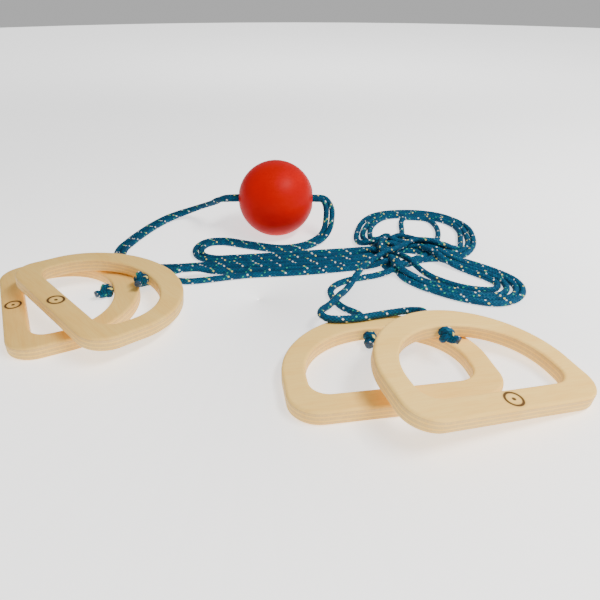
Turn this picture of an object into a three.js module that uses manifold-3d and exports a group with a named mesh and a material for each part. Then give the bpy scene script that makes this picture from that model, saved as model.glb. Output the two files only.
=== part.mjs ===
// A shuttle-ball pull game for two players, lying at rest on a table.
// Two braided cords run side by side through the bore of a wooden ball, and each cord ends in a
// D-shaped plywood handle that is held on by a stopper knot inside the handle's opening.
// Millimetres, +Z up. The table is z = 0. The origin is below the middle of the handles and the ball.
import * as THREE from 'three';
import { mergeVertices } from 'three/addons/utils/BufferGeometryUtils.js';
import Module from 'manifold-3d';

const wasm = await Module();
wasm.setup();

// ---------------------------------------------------------------- driving dimensions
const HANDLE = {
  width: 130, // along the grip bar
  height: 97, // from the grip bar to the crown
  thickness: 10,
  bar: 16, // band width at the grip bar
  side: 14.5, // band width at the shoulders
  crown: 19, // band width at the crown, where the cord goes through
  shoulder: 37, // height at which the straight sides turn into the bow
  innerShoulder: 34,
  bow: 1.95, // superellipse exponents of the outer and the inner bow
  innerBow: 2.1,
  corner: 19, // corner radii beside the grip bar, outside and inside
  innerCorner: 12.5,
  edge: 1.8, // rounding of all edges
  boreRadius: 3,
};
const CORD = {
  radius: 2.5,
  sides: 10,
  spacing: 2.8, // half the distance between the two cords where they run as a pair
  bed: 2.6, // height of a cord's middle where it lies on the table
  gap: 0.3,
  join: 0.9, // room at a gathered stretch's face for a cord that meets it at a slant
  straight: 3, // how far a cord runs straight on from a bore
};
const BALL = { radius: 35, boreRadius: 6.5, x: -22.5, y: 130.5 };
const KNOT = { along: 5.2, across: 5.4, up: 4.8, tail: 7, tailRadius: 2.3 };
const END_PROUD = 2; // what the handle's own cord end shows outside the bore
const COIL_HEIGHT = { bundle: 5.4, front: 10, back: 10 };
const DRILL_OVER = 8; // how much longer a drill is than the wood it goes through
const WELD = 1e-4; // corners nearer than this are one

// How finely each curve is divided.
const FACETS = {
  bow: 30,
  corner: 5,
  edge: 2,
  bore: 16,
  ball: { around: 36, rows: 24, bore: 20 },
  knot: { around: 18, rows: 12 },
  tail: { cap: 3, around: 8 },
  coil: 4,
  opening: 20,
};
// Stations between two points of a cord's route.
const STATIONS = { run: 1, bend: 2 };

// Each handle's place on the table: middle of the plate, turn, and lean over what lies under it.
const HANDLES = [
  { name: 'left_lower', x: -171, y: -6, turn: -63.4, lift: 0, leanX: 0, leanY: 0, tail: [0.2, -1] },
  { name: 'left_upper', x: -137.7, y: -14.6, turn: -45.2, lift: 12, leanX: -1.3, leanY: 4.8, tail: [0.9, -1] },
  { name: 'right_lower', x: 51.6, y: -84.6, turn: 9, lift: 0, leanX: 0, leanY: 0, tail: [-0.5, -1] },
  { name: 'right_upper', x: 100.6, y: -100.5, turn: 20, lift: 11.5, leanX: 1, leanY: 8.9, tail: [0.6, -1] },
];

const WOOD = { color: 0xe6c797, roughness: 0.55, metalness: 0 };
const BRAID = { color: 0x155a7c, roughness: 0.8, metalness: 0 };
const PAINT = { color: 0xc0190f, roughness: 0.35, metalness: 0 };

// ---------------------------------------------------------------- solids
const rad = THREE.MathUtils.degToRad;

function toManifold(geometry) {
  const bare = geometry.clone();
  bare.deleteAttribute('normal');
  bare.deleteAttribute('uv');
  const merged = mergeVertices(bare, WELD);
  return new wasm.Manifold(new wasm.Mesh({
    numProp: 3,
    vertProperties: new Float32Array(merged.attributes.position.array),
    triVerts: new Uint32Array(merged.index.array),
  }));
}

function toGeometry(solid) {
  const mesh = solid.getMesh();
  const geometry = new THREE.BufferGeometry();
  geometry.setAttribute('position', new THREE.BufferAttribute(mesh.vertProperties, 3));
  geometry.setIndex(new THREE.BufferAttribute(mesh.triVerts, 1));
  geometry.computeVertexNormals();
  return geometry;
}

function node(name, geometry, finish) {
  const mesh = new THREE.Mesh(geometry, new THREE.MeshStandardMaterial(finish));
  mesh.name = name;
  return mesh;
}

// ---------------------------------------------------------------- handles
// Half a superellipse over the shoulders, closed by the grip bar with two corner arcs.
function dOutline({ halfWidth, foot, top, shoulder, bow, corner }, path) {
  const points = [];
  for (let i = 0; i <= FACETS.bow; i += 1) {
    const angle = (Math.PI * i) / FACETS.bow;
    const across = Math.sign(Math.cos(angle)) * Math.abs(Math.cos(angle)) ** (2 / bow);
    const rise = Math.abs(Math.sin(angle)) ** (2 / bow);
    points.push(new THREE.Vector2(halfWidth * across, shoulder + (top - shoulder) * rise));
  }
  for (const side of [-1, 1]) {
    const start = side < 0 ? Math.PI : 1.5 * Math.PI;
    for (let i = 0; i <= FACETS.corner; i += 1) {
      const angle = start + (Math.PI / 2) * (i / FACETS.corner);
      points.push(new THREE.Vector2(
        side * (halfWidth - corner) + corner * Math.cos(angle),
        foot + corner + corner * Math.sin(angle),
      ));
    }
  }
  path.setFromPoints(points);
  return path;
}

// The plate lies about its own middle: x along the grip bar, y towards the crown.
function handleGeometry() {
  const half = HANDLE.height / 2;
  const plate = dOutline({
    halfWidth: HANDLE.width / 2,
    foot: -half,
    top: half,
    shoulder: HANDLE.shoulder - half,
    bow: HANDLE.bow,
    corner: HANDLE.corner,
  }, new THREE.Shape());
  plate.holes.push(dOutline({
    halfWidth: HANDLE.width / 2 - HANDLE.side,
    foot: HANDLE.bar - half,
    top: half - HANDLE.crown,
    shoulder: HANDLE.innerShoulder - half,
    bow: HANDLE.innerBow,
    corner: HANDLE.innerCorner,
  }, new THREE.Path()));
  const board = new THREE.ExtrudeGeometry(plate, {
    depth: HANDLE.thickness - 2 * HANDLE.edge,
    bevelEnabled: true,
    bevelThickness: HANDLE.edge,
    bevelSize: HANDLE.edge,
    bevelOffset: -HANDLE.edge,
    bevelSegments: FACETS.edge,
  });
  board.translate(0, 0, HANDLE.edge - HANDLE.thickness / 2);
  const boreLength = HANDLE.crown + DRILL_OVER;
  const drill = new THREE.CylinderGeometry(HANDLE.boreRadius, HANDLE.boreRadius, boreLength, FACETS.bore);
  drill.translate(0, half - HANDLE.crown / 2, 0);
  return toGeometry(toManifold(board).subtract(toManifold(drill)));
}

// A cord end along the handle's y axis, from one height to another.
function cordPiece(from, to) {
  const piece = new THREE.CylinderGeometry(CORD.radius, CORD.radius, to - from, CORD.sides);
  piece.translate(0, (from + to) / 2, 0);
  return piece;
}

// A rounded stopper knot with the cut end of the cord standing out of it.
function knotGeometry([tailX, tailY]) {
  const lump = new THREE.SphereGeometry(1, FACETS.knot.around, FACETS.knot.rows);
  lump.scale(KNOT.across, KNOT.along, KNOT.up);
  const lean = new THREE.Vector3(tailX, tailY, 0).normalize();
  const tail = new THREE.CapsuleGeometry(KNOT.tailRadius, KNOT.tail, FACETS.tail.cap, FACETS.tail.around);
  tail.translate(0, KNOT.tail / 2, 0);
  tail.applyQuaternion(new THREE.Quaternion().setFromUnitVectors(new THREE.Vector3(0, 1, 0), lean));
  return toGeometry(toManifold(lump).add(toManifold(tail)));
}

const CROWN_OUT = HANDLE.height / 2;
const CROWN_IN = CROWN_OUT - HANDLE.crown;
const END_STOP = CROWN_OUT + END_PROUD;

function handleGroup(place) {
  const group = new THREE.Group();
  group.position.set(place.x, place.y, place.lift + HANDLE.thickness / 2);
  group.rotation.set(rad(place.leanX), rad(place.leanY), rad(place.turn), 'XYZ');
  group.add(node(`handle_${place.name}`, handleGeometry(), WOOD));
  const knot = node(`knot_${place.name}`, knotGeometry(place.tail), BRAID);
  knot.position.y = CROWN_IN - CORD.gap - KNOT.along;
  group.add(knot);
  group.add(node(`cord_end_${place.name}`, cordPiece(CROWN_IN, END_STOP), BRAID));
  group.updateMatrixWorld(true);
  return group;
}

// ---------------------------------------------------------------- ball
function ballGeometry() {
  const sphere = new THREE.SphereGeometry(BALL.radius, FACETS.ball.around, FACETS.ball.rows);
  const boreLength = 2 * BALL.radius + DRILL_OVER;
  const drill = new THREE.CylinderGeometry(BALL.boreRadius, BALL.boreRadius, boreLength, FACETS.ball.bore);
  drill.rotateZ(Math.PI / 2);
  return toGeometry(toManifold(sphere).subtract(toManifold(drill)));
}

// ---------------------------------------------------------------- cords
const vectors = (points) => points.map(([x, y, z]) => new THREE.Vector3(x, y, z));

// The stretch of a smooth curve through its points from one point's number to another's. Its stations
// follow the points, closest where the curve bends most.
class Route extends THREE.CatmullRomCurve3 {
  constructor(points, first, last) {
    super(vectors(points), false, 'centripetal');
    this.share = (u) => THREE.MathUtils.lerp(first, last, u) / (points.length - 1);
  }

  getPointAt(u, target) {
    return this.getPoint(this.share(u), target);
  }

  getTangentAt(u, target) {
    return this.getTangent(this.share(u), target);
  }
}

function tube(points, stepsPerPoint, first = 0, last = points.length - 1) {
  const section = new THREE.Shape();
  section.absarc(0, 0, CORD.radius, 0, 2 * Math.PI);
  return new THREE.ExtrudeGeometry(section, {
    steps: Math.round(last - first) * stepsPerPoint,
    curveSegments: CORD.sides,
    extrudePath: new Route(points, first, last),
    bevelEnabled: false,
  });
}

// One of the two cords of a pair: the pair's middle line moved sideways in plan.
function besidePair(points, offset) {
  return points.map(([x, y, z], i) => {
    const [ax, ay] = points[Math.max(i - 1, 0)];
    const [bx, by] = points[Math.min(i + 1, points.length - 1)];
    const length = Math.hypot(bx - ax, by - ay);
    return [x - (offset * (by - ay)) / length, y + (offset * (bx - ax)) / length, z];
  });
}

// The first points of the cord outside a handle, straight out of its bore.
function exitPoints(group) {
  return [CORD.gap, CORD.straight].map((out) => {
    const point = group.localToWorld(new THREE.Vector3(0, END_STOP + out, 0));
    return [point.x, point.y, point.z];
  });
}

// The pair's middle line: from the bundle round behind the left handles, up to the ball, through it,
// down in front of it, and round the turn back to the bundle.
const BUNDLE = { left: -40, right: 46 };
const PAIR = [
  [BUNDLE.left - CORD.join, 55, CORD.bed], [-62, 55, CORD.bed], [-84, 52, CORD.bed], [-106, 49, CORD.bed],
  [-127, 49, CORD.bed], [-144, 54, CORD.bed], [-156, 67, CORD.bed], [-160, 86, CORD.bed], [-157, 102, CORD.bed],
  [-150, 126, CORD.bed], [-142, 146, CORD.bed], [-133, 160, 3.4], [-123, 166, 5.5], [-110, 166, 10],
  [-97, 158, 17], [-83, 144, 26], [-76, 136, 32], [-67.5, 130.5, 35], [12.5, 130.5, 35], [22.5, 129.6, 34],
  [27, 124, 27], [27, 119, 20], [25.5, 114, 12.5], [21, 108, 6.5], [12, 100, 3.4], [0, 92, CORD.bed],
  [-18, 88, CORD.bed], [-45, 95.5, CORD.bed], [-71, 104, CORD.bed], [-85, 101, CORD.bed], [-91, 88, CORD.bed],
  [-87, 73, CORD.bed], [-74, 66, CORD.bed], [-58, 67, CORD.bed], [BUNDLE.left - CORD.join, 69, CORD.bed],
];
// Each handle's cord outside the bore, as far as the bundle or the coil. The first two points are on
// the stretch that bends when the handle moves. The last route passes over the lower handle's crown.
const OUTSIDE = {
  left_lower: [[-120.2, 19.4, 5], [-114.8, 22.1, 4.8], [-103, 26, 3.4], [-91, 25.5, CORD.bed],
    [-76, 28, CORD.bed], [-57, 33, CORD.bed], [BUNDLE.left - CORD.join, 36.5, CORD.bed]],
  left_upper: [[-97.5, 25.3, 12.7], [-93.3, 29.6, 12], [-84, 36.5, 8.6], [-72, 40.5, 4.2],
    [-57, 43, CORD.bed], [BUNDLE.left - CORD.join, 45, CORD.bed]],
  right_lower: [[42.2, -28.6, 4.6], [38.6, -23.6, 3.8], [33.2, -17.5, 2.9], [28.2, -9.5, CORD.bed],
    [24.6, 1, CORD.bed], [24, 11, CORD.bed], [29.5, 20.5, CORD.bed], [40, 28, CORD.bed],
    [51, 32, CORD.bed], [60.3, 35, CORD.bed]],
  right_upper: [[80.6, -47.2, 18.9], [74.8, -42.6, 16.2], [64.5, -40.8, 13.6], [52.5, -43.2, 12.9],
    [40, -46.8, 12.8], [28, -48.3, 12.8], [18.5, -47, 12.8], [14.6, -41, 12.4], [15.6, -33, 11],
    [20.3, -24.5, 9.3], [25.5, -15.5, 8.8], [30, -6.5, 8.4], [34, 3, 5.8], [39.5, 15, 5.4],
    [45.5, 26, 8.8], [52, 38.5, 9.8]],
};
const FLEX_END = 3; // the number of the route's point where the bending stretch ends
const FLEX_GAP = 0.03; // half the gap there, as a share of the way to the next point

// A flat solid of the outer shape of a stretch of gathered cord, through its corner points.
function coilSolid(points, height, curved) {
  const corners = points.map(([x, y]) => new THREE.Vector2(x, y));
  const outline = new THREE.Shape();
  if (curved) {
    outline.moveTo(corners[0].x, corners[0].y);
    outline.splineThru(corners.slice(1));
  } else {
    outline.setFromPoints(corners);
  }
  return new THREE.ExtrudeGeometry(outline, {
    depth: height,
    bevelEnabled: false,
    curveSegments: FACETS.coil,
  });
}

const BUNDLE_OUTLINE = [
  [BUNDLE.left, 33], [BUNDLE.right, 44], [BUNDLE.right, 90], [0, 82], [BUNDLE.left, 75.5],
];
const FRONT_OUTLINE = [
  [46.6, 90], [46.6, 45], [60.6, 41.5], [61.2, 28.5], [76, 20], [90, 10], [116, -7], [142, -16], [168, -11],
  [181, 4], [180, 24], [166, 40], [148, 54], [130, 66],
];
const BACK_OUTLINE = [
  [131, 66.8], [148, 77], [164, 98], [171, 126], [164, 154], [146, 174], [120, 184], [96, 190], [74, 182],
  [56, 158], [48, 128], [46, 104], [47.6, 90.6],
];
const BACK_OPENING = { x: 96, y: 124, across: 13, deep: 24, turn: 12 };

function backCoil() {
  const ring = toManifold(coilSolid(BACK_OUTLINE, COIL_HEIGHT.back, true));
  const cut = 2 * (COIL_HEIGHT.back + DRILL_OVER);
  const hole = new THREE.CylinderGeometry(1, 1, cut, FACETS.opening);
  hole.rotateX(Math.PI / 2);
  hole.scale(BACK_OPENING.across, BACK_OPENING.deep, 1);
  hole.rotateZ(rad(BACK_OPENING.turn));
  hole.translate(BACK_OPENING.x, BACK_OPENING.y, 0);
  return toGeometry(ring.subtract(toManifold(hole)));
}

// ---------------------------------------------------------------- assembly
const layout = new THREE.Group();
const handles = Object.fromEntries(HANDLES.map((place) => [place.name, handleGroup(place)]));
layout.add(...Object.values(handles));

const ball = node('ball', ballGeometry(), PAINT);
ball.position.set(BALL.x, BALL.y, BALL.radius);
layout.add(ball);

for (const [letter, side] of [['a', 1], ['b', -1]]) {
  const route = besidePair(PAIR, side * CORD.spacing);
  layout.add(node(`cord_${letter}_ball_run`, tube(route, STATIONS.run), BRAID));
}
for (const [name, points] of Object.entries(OUTSIDE)) {
  const route = [...exitPoints(handles[name]), ...points];
  layout.add(node(`cord_flex_${name}`, tube(route, STATIONS.bend, 0, FLEX_END - FLEX_GAP), BRAID));
  layout.add(node(`cord_run_${name}`, tube(route, STATIONS.run, FLEX_END + FLEX_GAP), BRAID));
}
layout.add(node('cord_bundle', coilSolid(BUNDLE_OUTLINE, COIL_HEIGHT.bundle, false), BRAID));
layout.add(node('cord_coil_front', coilSolid(FRONT_OUTLINE, COIL_HEIGHT.front, false), BRAID));
layout.add(node('cord_coil_back', backCoil(), BRAID));

// The origin goes below the middle of the handles and the ball.
const box = new THREE.Box3();
layout.updateMatrixWorld(true);
for (const piece of [...HANDLES.map(({ name }) => layout.getObjectByName(`handle_${name}`)), ball]) {
  box.expandByObject(piece, true);
}
const middle = box.getCenter(new THREE.Vector3());
layout.position.set(-middle.x, -middle.y, 0);

const game = new THREE.Group();
game.add(layout);
export default game;
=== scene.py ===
"""A shuttle-ball pull game at rest on a table: plywood handles, braided cords and a lacquered ball.

Two cords run side by side through the ball. Each cord has a handle on both its ends, held on by a
stopper knot. Places are in metres, +Z up, with the table at z = 0. Handles are drawn flat first, with
x along the grip and y towards the crown, and then laid down as they rest.
"""

import logging
import math
from dataclasses import dataclass, field
from enum import Enum
from typing import Any, Sequence

import bpy
import numpy as np
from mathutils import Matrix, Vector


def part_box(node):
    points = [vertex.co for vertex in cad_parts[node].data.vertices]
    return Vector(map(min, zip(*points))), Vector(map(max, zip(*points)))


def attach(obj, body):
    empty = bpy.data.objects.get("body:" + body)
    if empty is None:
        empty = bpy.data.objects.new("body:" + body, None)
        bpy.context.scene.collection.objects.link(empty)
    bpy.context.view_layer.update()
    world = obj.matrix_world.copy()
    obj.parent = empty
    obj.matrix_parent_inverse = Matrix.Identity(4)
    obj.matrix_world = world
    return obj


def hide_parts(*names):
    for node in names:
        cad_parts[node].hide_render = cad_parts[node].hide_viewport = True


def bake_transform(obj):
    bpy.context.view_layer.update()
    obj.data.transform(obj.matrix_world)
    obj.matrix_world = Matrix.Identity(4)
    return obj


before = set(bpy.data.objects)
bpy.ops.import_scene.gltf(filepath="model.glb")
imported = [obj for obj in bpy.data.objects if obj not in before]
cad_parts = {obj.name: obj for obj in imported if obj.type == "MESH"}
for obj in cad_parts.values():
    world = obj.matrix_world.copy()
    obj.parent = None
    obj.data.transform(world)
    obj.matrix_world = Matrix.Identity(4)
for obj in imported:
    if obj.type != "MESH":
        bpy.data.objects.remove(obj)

Array = np.ndarray
Points = Sequence[tuple[float, ...]]
LOG = logging.getLogger("pull_game")
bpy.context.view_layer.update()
CURVE_STEPS = 24
TINY = 1e-9


# ---------------------------------------------------------------- shader arithmetic
class Value:
    """A number socket of a material that takes part in Python expressions."""

    def __init__(self, painter: "Painter", socket: Any) -> None:
        """Wraps a socket of the painter's node tree."""
        self.painter = painter
        self.socket = socket

    def _math(self, operation: str, *operands: Any) -> "Value":
        """Adds one Math node.

        Args:
            operation: the Math node's operation.
            operands: numbers or values, in the node's input order.

        Returns:
            The node's result.
        """
        inputs = {i: operand for i, operand in enumerate(operands)}
        return self.painter.value("ShaderNodeMath", {"operation": operation}, inputs)

    def __add__(self, other: Any) -> "Value":
        """self + other"""
        return self._math("ADD", self, other)

    __radd__ = __add__

    def __sub__(self, other: Any) -> "Value":
        """self - other"""
        return self._math("SUBTRACT", self, other)

    def __rsub__(self, other: Any) -> "Value":
        """other - self"""
        return self._math("SUBTRACT", other, self)

    def __mul__(self, other: Any) -> "Value":
        """self * other"""
        return self._math("MULTIPLY", self, other)

    __rmul__ = __mul__

    def __truediv__(self, other: Any) -> "Value":
        """self / other"""
        return self._math("DIVIDE", self, other)

    def __pow__(self, power: float) -> "Value":
        """self ** power"""
        return self._math("POWER", self, power)

    def __abs__(self) -> "Value":
        """abs(self)"""
        return self._math("ABSOLUTE", self)

    def __gt__(self, other: Any) -> "Value":
        """1 where self is above other, and 0 elsewhere."""
        return self._math("GREATER_THAN", self, other)

    def __lt__(self, other: Any) -> "Value":
        """1 where self is below other, and 0 elsewhere."""
        return self._math("LESS_THAN", self, other)

    def floor(self) -> "Value":
        """The whole number below self."""
        return self._math("FLOOR", self)

    def fraction(self) -> "Value":
        """self less the whole number below it."""
        return self._math("FRACT", self)

    def wrapped(self, length: float) -> "Value":
        """self modulo length, never below 0."""
        return self._math("FLOORED_MODULO", self, length)

    def sine(self) -> "Value":
        """sin(self), in radians."""
        return self._math("SINE", self)

    def ramp(self, low: float, high: float) -> "Value":
        """A smooth rise from 0 at low to 1 at high, or a fall where high is the smaller.

        Args:
            low: where the result is 0.
            high: where the result is 1.

        Returns:
            The smooth step.
        """
        settings = {"interpolation_type": "SMOOTHSTEP"}
        inputs = {"Value": self, "From Min": low, "From Max": high}
        return self.painter.value("ShaderNodeMapRange", settings, inputs)


class Painter:
    """Builds one material's node tree around a Principled shader."""

    def __init__(self, name: str) -> None:
        """Starts an empty material with that name."""
        self.material = bpy.data.materials.new(name)
        self.material.use_nodes = True
        self.tree = self.material.node_tree
        self.tree.nodes.clear()
        self.shader = self.node("ShaderNodeBsdfPrincipled")
        output = self.node("ShaderNodeOutputMaterial")
        self.tree.links.new(self.shader.outputs["BSDF"], output.inputs["Surface"])

    def node(self, kind: str, settings: dict | None = None, inputs: dict | None = None) -> Any:
        """Adds a node.

        Args:
            kind: the node's type.
            settings: the node's own properties.
            inputs: values, links or plain numbers by socket name or number.

        Returns:
            The node.
        """
        made = self.tree.nodes.new(kind)
        for key, setting in (settings or {}).items():
            setattr(made, key, setting)
        for key, value in (inputs or {}).items():
            self.feed(made.inputs[key], value)
        return made

    def feed(self, socket: Any, value: Any) -> None:
        """Links a value into a socket, or sets the socket to a constant."""
        if isinstance(value, Value):
            value = value.socket
        if isinstance(value, bpy.types.NodeSocket):
            self.tree.links.new(value, socket)
        else:
            socket.default_value = value

    def value(self, kind: str, settings: dict, inputs: dict, output: Any = 0) -> Value:
        """Adds a node and gives one of its outputs as a value."""
        return Value(self, self.node(kind, settings, inputs).outputs[output])

    def split(self, vector: Any) -> tuple[Value, Value, Value]:
        """The three parts of a vector socket, as values."""
        parts = self.node("ShaderNodeSeparateXYZ", inputs={0: vector})
        return tuple(Value(self, parts.outputs[i]) for i in range(3))

    def joined(self, x: Any, y: Any, z: Any) -> Any:
        """A vector socket made of three values or numbers."""
        return self.node("ShaderNodeCombineXYZ", inputs={0: x, 1: y, 2: z}).outputs[0]

    def stored(self, name: str) -> tuple[Value, Value, Value]:
        """The three parts of the piece's stored vector with that name."""
        return self.split(self.node("ShaderNodeAttribute", {"attribute_name": name}).outputs["Vector"])

    def place(self) -> Any:
        """The vector socket of the object's own coordinates."""
        return self.node("ShaderNodeTexCoord").outputs["Object"]

    def noise(self, vector: Any, scale: float, detail: float = 3.0, rough: float = 0.5) -> Value:
        """Soft noise about 0.5.

        Args:
            vector: where it is read.
            scale: how many lumps there are to a metre.
            detail: how many finer layers it has.
            rough: how much the finer layers weigh.

        Returns:
            The noise.
        """
        inputs = {"Vector": vector, "Scale": scale, "Detail": detail, "Roughness": rough}
        return self.value("ShaderNodeTexNoise", {}, inputs)

    def blend(self, share: Any, first: Any, second: Any) -> Any:
        """Mixes two colours.

        Args:
            share: how much of the second, from 0 to 1.
            first: a colour or its socket.
            second: a colour or its socket.

        Returns:
            The mixed colour's socket.
        """
        settings = {"data_type": "RGBA", "clamp_factor": True}
        mixed = self.node("ShaderNodeMix", settings, {0: share})
        for index, colour in ((6, first), (7, second)):
            self.feed(mixed.inputs[index], (*colour, 1.0) if isinstance(colour, tuple) else colour)
        return mixed.outputs[2]

    def bump(self, height: Value, distance: float, strength: float = 1.0) -> Any:
        """The normal socket of a relief of that height, in metres."""
        inputs = {"Height": height, "Distance": distance, "Strength": strength}
        return self.node("ShaderNodeBump", inputs=inputs).outputs["Normal"]

    def set(self, **sockets: Any) -> None:
        """Feeds the shader's sockets. An underscore in a name stands for a space."""
        for name, value in sockets.items():
            self.feed(self.shader.inputs[name.replace("_", " ")], value)


# ---------------------------------------------------------------- finishes
@dataclass(frozen=True)
class PlyFinish:
    """Clear-sealed birch plywood, light and dark plies on its edges, with a burnt ring on the grip."""

    thickness: float
    mark_place: tuple[float, float]
    plies: int = 7
    face: tuple[float, float, float] = (0.96, 0.640, 0.190)
    face_dark: tuple[float, float, float] = (0.88, 0.500, 0.110)
    end_grain: tuple[float, float, float] = (0.72, 0.46, 0.19)
    glue: tuple[float, float, float] = (0.42, 0.23, 0.085)
    burnt: tuple[float, float, float] = (0.055, 0.022, 0.010)
    mark_radius: float = 0.0052
    mark_width: float = 0.0011
    mark_dot: float = 0.0015
    scorch_far: float = 0.0026
    scorch_near: float = 0.0008

    def material(self, name: str) -> Any:
        """Builds the material. It reads the stored vector "board", the place on the handle.

        Args:
            name: the material's name.

        Returns:
            The material.
        """
        p = Painter(name)
        x, y, z = p.stored("board")
        wander = p.noise(p.joined(x, y, z), 60.0) - 0.5
        # Long fibres along the grip: the noise is stretched twenty times along x.
        fibre = p.noise(p.joined(x * 0.05, y + wander * 0.004, z * 0.2), 900.0, 4.0, 0.6)
        broad = p.noise(p.joined(x * 0.12, y + wander * 0.02, z), 75.0, 2.0)
        ray = p.noise(p.joined(x * 0.3, y, z), 2600.0, 1.0)
        share = fibre.ramp(0.35, 0.75) * 0.45 + broad.ramp(0.4, 0.7) * 0.35
        face = p.blend(share, self.face, self.face_dark)
        # The plies, counted from the bottom face, waver a little.
        level = (z / self.thickness + 0.5) * self.plies + wander * 0.25
        odd = (level.floor().wrapped(2.0) > 0.5) * (abs(z) < 0.43 * self.thickness)
        end_share = p.noise(p.joined(x, y, z * 0.3), 1500.0, 2.0).ramp(0.3, 0.7) * 0.5 + 0.35
        edge = p.blend(odd * end_share, face, self.end_grain)
        line = abs(level.fraction() - 0.5).ramp(0.42, 0.49) * (abs(z) < 0.45 * self.thickness)
        edge = p.blend(line * 0.55, edge, self.glue)
        # The burnt ring and dot, on the upper face only.
        mark_x = x - self.mark_place[0]
        mark_y = y - self.mark_place[1]
        away = (mark_x * mark_x + mark_y * mark_y) ** 0.5 + wander * 0.0006
        ring = abs(away - self.mark_radius).ramp(self.mark_width, self.mark_width * 0.45)
        dot = away.ramp(self.mark_dot, self.mark_dot * 0.7)
        burn = (ring + dot) * (z > 0.45 * self.thickness)
        scorch = abs(away - self.mark_radius).ramp(self.scorch_far, self.scorch_near)
        scorch = scorch * (z > 0.45 * self.thickness)
        edge = p.blend(scorch * 0.25, edge, self.glue)
        colour = p.blend(burn * 0.93, edge, self.burnt)
        relief = fibre * 0.5 + ray * 0.25 - burn * 1.5 - line * 0.8
        p.set(
            Base_Color=colour,
            Roughness=0.42 + fibre * 0.16 + burn * 0.2,
            Normal=p.bump(relief, 0.00009),
            Specular_IOR_Level=0.12,
        )
        return p.material


@dataclass(frozen=True)
class LacquerFinish:
    """Satin red lacquer over turned wood, with the faint rings of the lathe."""

    centre: tuple[float, float, float]
    colour: tuple[float, float, float] = (0.56, 0.0010, 0.0003)
    deep: tuple[float, float, float] = (0.45, 0.0008, 0.0002)
    rings: float = 2600.0

    def material(self, name: str) -> Any:
        """Builds the material on the object's own coordinates.

        Args:
            name: the material's name.

        Returns:
            The material.
        """
        p = Painter(name)
        place = p.place()
        x, y, z = p.split(place)
        along = x - self.centre[0]
        cloud = p.noise(place, 45.0, 3.0)
        peel = p.noise(place, 850.0, 2.0)
        grain = p.noise(p.joined(x * 0.1, y, z), 420.0, 3.0)
        turned = (along * self.rings).sine() * 0.5 + 0.5
        share = cloud.ramp(0.35, 0.7) * 0.5 + grain.ramp(0.5, 0.8) * 0.25
        p.set(
            Base_Color=p.blend(share, self.colour, self.deep),
            Roughness=0.36 + peel * 0.08,
            Normal=p.bump(peel * 0.6 + turned * 0.12 + grain * 0.25, 0.00006),
            Specular_IOR_Level=0.06,
        )
        return p.material


@dataclass(frozen=True)
class BraidFinish:
    """Deep blue braid with white, yellow and green tracer yarns.

    A strand of one family keeps its number p, and of the other family q, where
    p = n (u + v / lay) and q = n (u - v / lay), with u the share of the way round, v the length
    along the cord and n the strands of a family. The p strand is on top where the whole numbers
    of p and q add up to an even one.
    """

    strands: int
    lay: float
    blue: tuple[float, float, float] = (0.0010, 0.036, 0.100)
    pale_blue: tuple[float, float, float] = (0.0030, 0.110, 0.205)
    # Painted shade: the dark colour laid into the valleys between the strands.
    painted_valley_shade: tuple[float, float, float] = (0.0008, 0.010, 0.032)
    white: tuple[float, float, float] = (0.82, 0.84, 0.78)
    yellow: tuple[float, float, float] = (0.78, 0.72, 0.22)
    green: tuple[float, float, float] = (0.03, 0.36, 0.22)

    def material(self, name: str) -> Any:
        """Builds the material on the piece's UV map: u round the cord and v along it, in metres.

        Args:
            name: the material's name.

        Returns:
            The material.
        """
        p = Painter(name)
        round_share, along, _ = p.split(p.node("ShaderNodeUVMap", {"uv_map": "cord"}).outputs["UV"])
        turns = along / self.lay
        first = (round_share + turns) * self.strands
        second = (round_share - turns) * self.strands
        first_top = (first.floor() + second.floor()).wrapped(2.0) < 0.5
        second_top = 1.0 - first_top
        across = first_top * first.fraction() + second_top * second.fraction()
        lengthways = first_top * second.fraction() + second_top * first.fraction()
        number = first_top * first.floor() + second_top * second.floor()
        strand = number.wrapped(float(self.strands))
        # One cell's own chance, the same all over the cell.
        cell = p.joined(first.floor(), second.floor(), 0.0)
        chance = p.value("ShaderNodeTexWhiteNoise", {"noise_dimensions": "3D"}, {"Vector": cell})
        light_strand = first_top * (strand < 0.5)
        other_strand = second_top * (abs(strand - 3.0) < 0.5)
        inside = (across * math.pi).sine().ramp(0.25, 0.6) * (lengthways * math.pi).sine().ramp(0.1, 0.4)
        yarn = ((across + lengthways * 0.15) * (2.0 * math.pi * 4.0)).sine() * 0.5 + 0.5
        blue = p.blend(yarn * 0.35 + chance * 0.65, self.blue, self.pale_blue)
        tracer = p.blend(chance > 0.7, self.white, self.yellow)
        colour = p.blend(light_strand * inside * (chance > 0.25), blue, tracer)
        colour = p.blend(other_strand * inside * (chance > 0.55), colour, self.green)
        # Painted shade: the valleys between the strands are darkened towards a deep navy, by up to three
        # quarters.
        groove = (across * math.pi).sine() * ((lengthways * math.pi).sine() ** 0.5)
        colour = p.blend(groove.ramp(0.45, 0.05) * 0.75, colour, self.painted_valley_shade)
        fuzz = p.noise(p.joined(round_share * 0.016, along, 0.0), 5200.0, 2.0)
        p.set(
            Base_Color=colour,
            Roughness=0.62 + fuzz * 0.25,
            Normal=p.bump(groove * 0.8 + yarn * 0.16 + fuzz * 0.12, 0.00042),
            Specular_IOR_Level=0.2,
        )
        return p.material


@dataclass(frozen=True)
class PlainFinish:
    """One plain surface with a soft mottle, such as the table or a melted cord end."""

    colour: tuple[float, float, float]
    mottle: tuple[float, float, float]
    roughness: float
    scale: float
    glow: float = 0.0

    def material(self, name: str) -> Any:
        """Builds the material on the object's own coordinates."""
        p = Painter(name)
        cloud = p.noise(p.place(), self.scale, 2.0)
        p.set(
            Base_Color=p.blend(cloud.ramp(0.3, 0.7), self.colour, self.mottle),
            Roughness=self.roughness,
            Emission_Color=(*self.colour, 1.0),
            Emission_Strength=self.glow,
        )
        return p.material


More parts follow.
